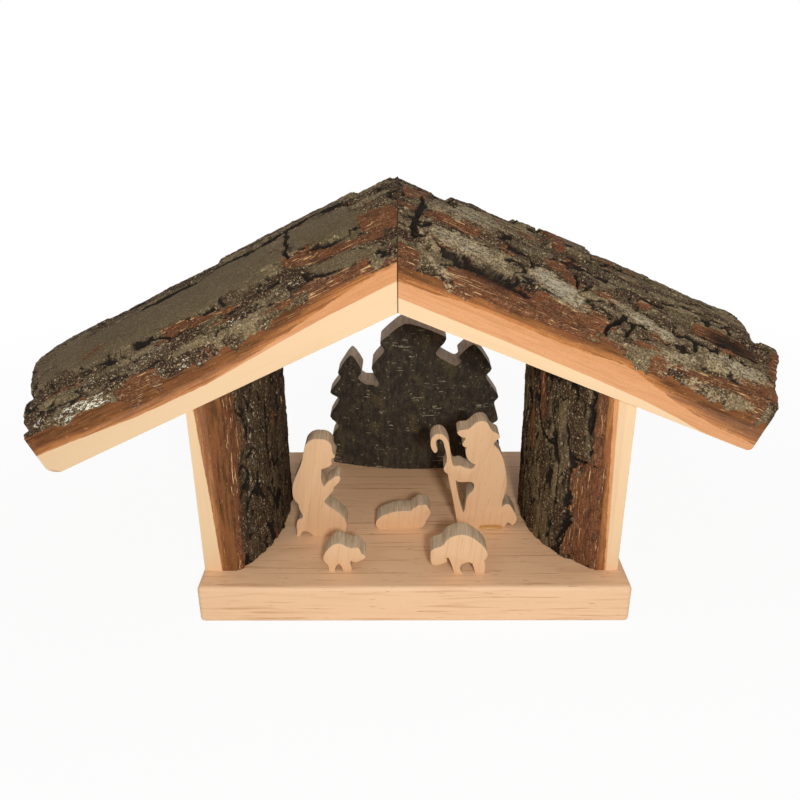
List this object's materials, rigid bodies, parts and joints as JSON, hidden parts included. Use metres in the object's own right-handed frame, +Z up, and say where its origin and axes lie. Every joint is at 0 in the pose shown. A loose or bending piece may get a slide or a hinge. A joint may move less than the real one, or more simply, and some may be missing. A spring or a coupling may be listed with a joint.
{
  "type": "wooden nativity stable",
  "caption": "Small wooden stable of bark-covered log slabs on a plain board, with sawn firs behind and flat sawn nativity figures that lift out of its open front.",
  "frame": {"origin": "middle of the base board's underside", "axes": "+X to the right along the front, +Y from the open front to the back, +Z up"},
  "size_m": [0.3965, 0.16, 0.2228],
  "materials": {
    "base_wood": "planed, rounded edges, unvarnished",
    "slab_wood": "sawn, unvarnished",
    "slab_bark": "rough furrowed bark with lichen",
    "firs_wood": "sawn, greyed",
    "firs_bark": "thin dark bark",
    "figure_wood": "sawn and sanded, unvarnished",
    "set_glue": "set amber glue",
    "screw_steel": "plain countersunk screws",
    "dowel_wood": "turned, hidden"
  },
  "bodies": {
    "stable": {"base_board": "base_wood", "left_wall_wood": "slab_wood", "left_wall_bark": "slab_bark", "right_wall_wood": "slab_wood", "right_wall_bark": "slab_bark", "left_roof_wood": "slab_wood", "left_roof_bark": "slab_bark", "right_roof_wood": "slab_wood", "right_roof_bark": "slab_bark", "firs_wood": "firs_wood", "firs_bark": "firs_bark", "crook_man": "figure_wood", "glue_bead": "set_glue", "left_wall_screws": "screw_steel", "right_wall_screws": "screw_steel", "firs_screws": "screw_steel", "left_roof_dowels": "dowel_wood", "right_roof_dowels": "dowel_wood", "ridge_dowels": "dowel_wood"},
    "kneeling_woman": {"kneeling_woman": "figure_wood"},
    "infant": {"infant": "figure_wood"},
    "lamb": {"lamb": "figure_wood"},
    "ewe": {"ewe": "figure_wood"}
  },
  "joints": [
    {"name": "kneeling_woman_lift_out", "type": "slide", "parent": "stable", "child": "kneeling_woman", "axis": [0, -0.7431, 0.6691], "range_m": [0, 0.09]},
    {"name": "infant_lift_out", "type": "slide", "parent": "stable", "child": "infant", "axis": [0, -0.8192, 0.5736], "range_m": [0, 0.09]},
    {"name": "lamb_lift_out", "type": "slide", "parent": "stable", "child": "lamb", "axis": [0, -0.866, 0.5], "range_m": [0, 0.04]},
    {"name": "ewe_lift_out", "type": "slide", "parent": "stable", "child": "ewe", "axis": [0, -0.866, 0.5], "range_m": [0, 0.04]}
  ]
}
